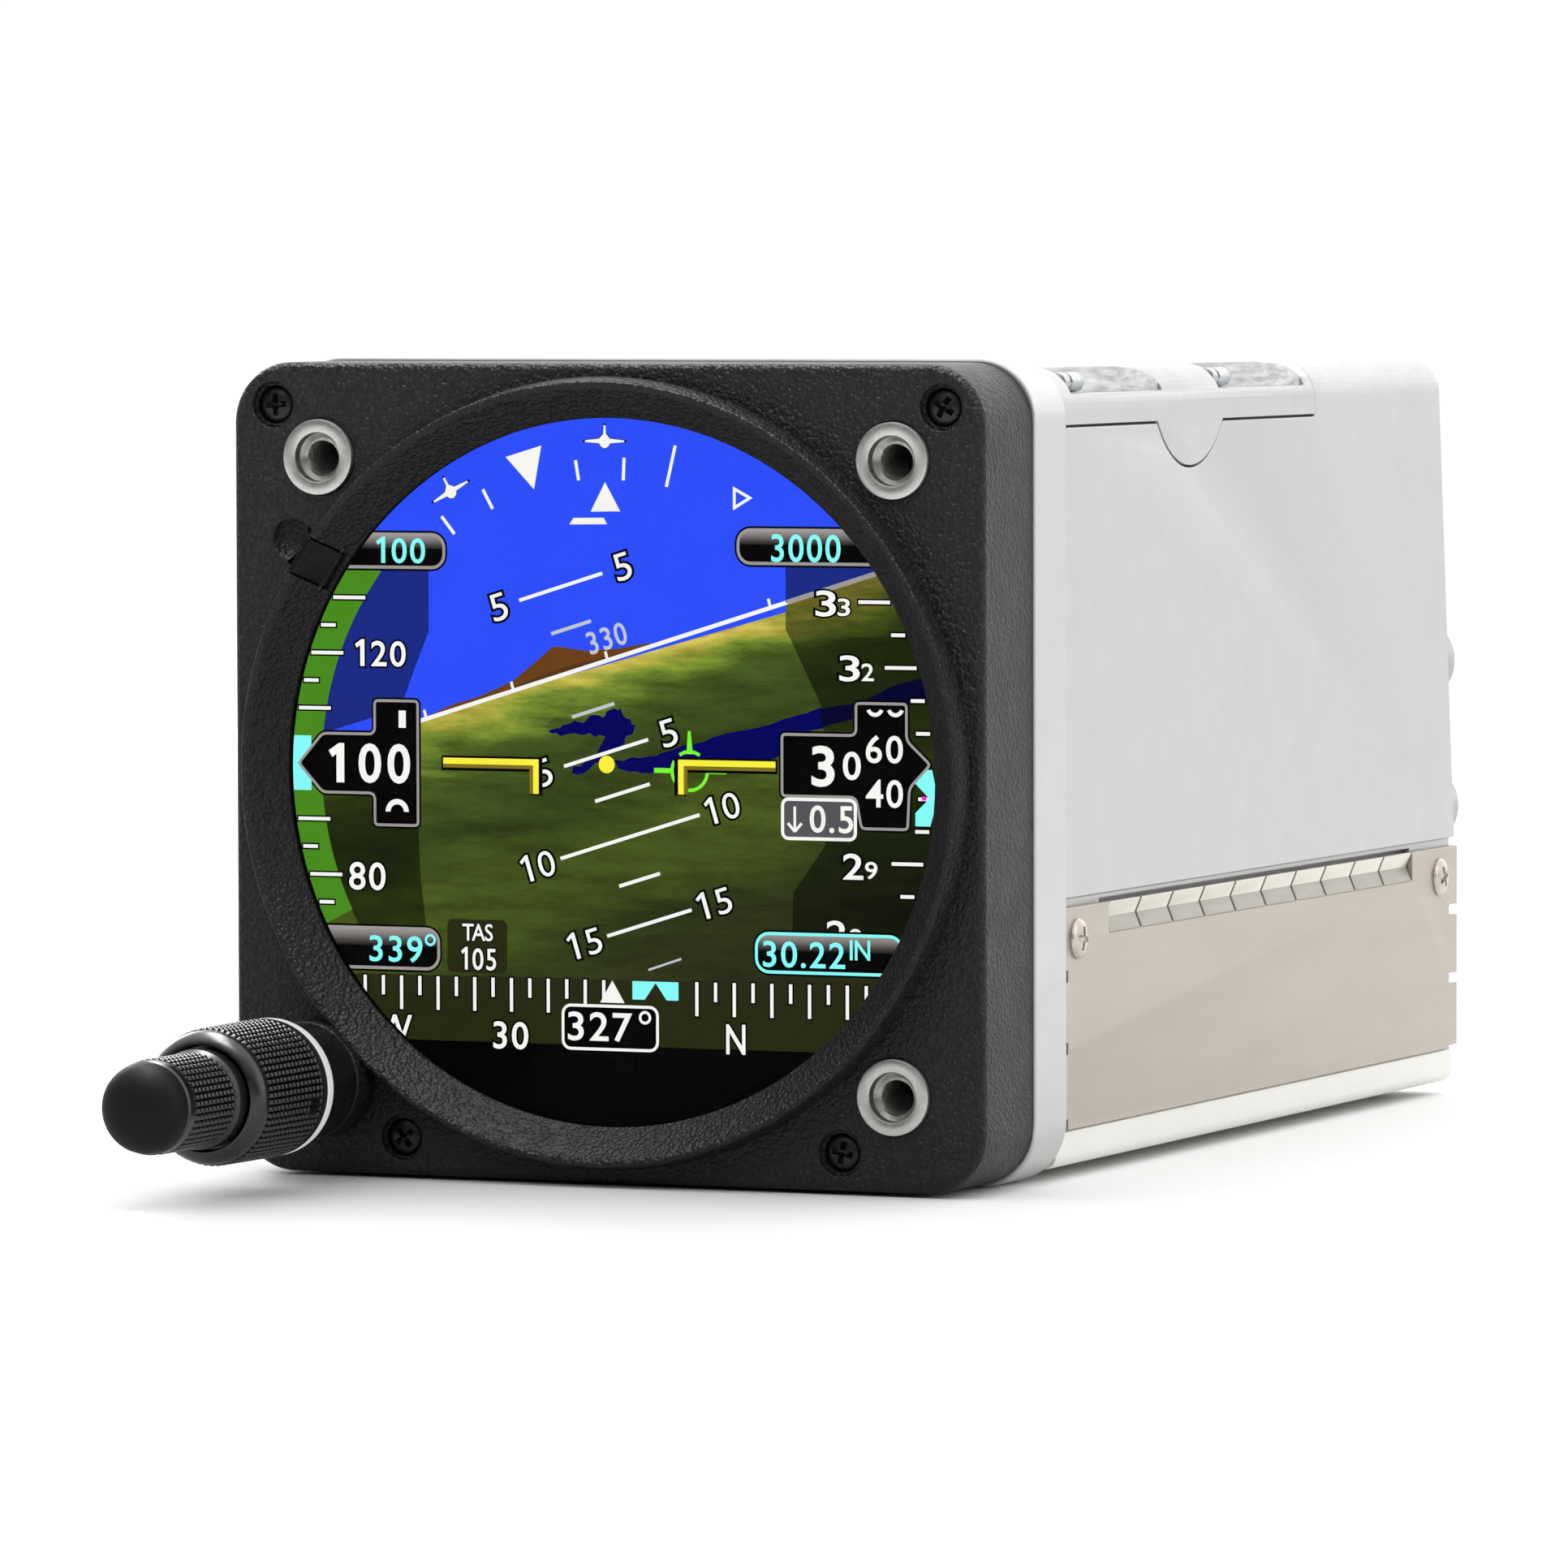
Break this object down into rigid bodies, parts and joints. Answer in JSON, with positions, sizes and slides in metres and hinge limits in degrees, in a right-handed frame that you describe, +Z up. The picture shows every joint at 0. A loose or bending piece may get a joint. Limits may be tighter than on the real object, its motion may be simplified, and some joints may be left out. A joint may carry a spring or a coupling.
{
  "type": "round-display electronic flight instrument",
  "caption": "Square-bezel panel flight instrument with a raised round display, a dual concentric push knob, a metal case and rear ports.",
  "frame": {"origin": "centre of the raised display ring, in the plane of the bezel front face that seats behind the instrument panel", "axes": "+X to the right as the pilot sees it, +Y away from the pilot along the case, +Z up"},
  "size_m": [0.0828, 0.1964, 0.0826],
  "materials": {
    "bezel_black": "fine powder-coat grain, satin",
    "glass_black": "black bordered cover glass, gloss",
    "display_image": "lit round display picture",
    "seal_black": "matt black",
    "diffuser_white": "matt white",
    "bracket_grey": "plain machined",
    "board_green": "solder mask",
    "flex_amber": "polyimide",
    "insert_steel": "turned, bright",
    "screw_black": "black oxide",
    "contact_gold": "gold plated",
    "door_black": "satin black",
    "steel": "turned",
    "knob_black": "knurled, satin black",
    "cap_black": "soft-touch matt black",
    "light_ring_white": "white light guide",
    "rotor_cream": "moulded",
    "frame_bright": "clear finished, bright",
    "case_silver": "clear finished, satin",
    "tray_white": "clear finished, satin",
    "cover_nickel": "warm nickel plated sheet",
    "battery_blue": "shrink wrap",
    "can_steel": "tin plated can",
    "module_dark": "dark moulded",
    "tube_clear": "soft tube",
    "fitting_steel": "turned",
    "connector_gold": "yellow passivated"
  },
  "bodies": {
    "instrument": {"bezel": "bezel_black", "display_glass": "glass_black", "display_panel": "display_image", "glass_gasket": "seal_black", "backlight_unit": "diffuser_white", "display_carrier": "bracket_grey", "display_board": "board_green", "display_flex": "flex_amber", "threaded_inserts": "insert_steel", "bezel_screws": "screw_black", "service_contacts": "contact_gold", "data_door_pin": "steel", "knob_collar": "knob_black", "knob_light_ring": "light_ring_white", "encoder_bushing": "steel", "encoder_can": "can_steel", "push_switch": "module_dark", "mid_frame": "frame_bright", "frame_screws": "steel", "case_body": "case_silver", "bottom_tray": "tray_white", "tray_screws": "steel", "side_cover_right": "cover_nickel", "side_cover_left": "cover_nickel", "side_cover_screws": "cover_nickel", "battery_cover": "case_silver", "battery_cover_screws": "steel", "backup_battery": "battery_blue", "main_board": "board_green", "power_board": "board_green", "lower_standoffs": "bracket_grey", "upper_standoffs": "bracket_grey", "board_screws": "steel", "sensor_module": "module_dark", "gps_receiver": "can_steel", "heat_spreader": "bracket_grey", "air_data_module": "module_dark", "air_tubes": "tube_clear", "pitot_port": "fitting_steel", "static_port": "fitting_steel", "port_nuts": "fitting_steel", "gps_connector": "connector_gold", "main_connector": "connector_gold", "jack_screws": "steel"},
    "outer_knob": {"outer_knob": "knob_black", "outer_shaft": "steel", "knob_set_screw": "screw_black"},
    "detent_rotor": {"detent_rotor": "rotor_cream"},
    "inner_knob": {"inner_knob": "knob_black", "inner_shaft": "steel", "knob_cap": "cap_black"},
    "data_door": {"data_door": "door_black"}
  },
  "joints": [
    {"name": "outer_knob_turn", "type": "hinge", "parent": "instrument", "child": "outer_knob", "pos_m": [-0.03143, 0, -0.03143], "axis": [0, 1, 0], "continuous": true},
    {"name": "inner_knob_turn", "type": "hinge", "parent": "instrument", "child": "detent_rotor", "pos_m": [-0.03143, 0, -0.03143], "axis": [0, 1, 0], "continuous": true},
    {"name": "inner_knob_push", "type": "slide", "parent": "detent_rotor", "child": "inner_knob", "axis": [0, 1, 0], "range_m": [0, 0.0008], "stiffness_N_per_m": 2500, "springref_m": -0.0006},
    {"name": "data_door_swing", "type": "hinge", "parent": "instrument", "child": "data_door", "pos_m": [-0.03024, 0.00015, 0.02017], "axis": [0.5548, 0, 0.832], "range_deg": [0, 75]}
  ]
}
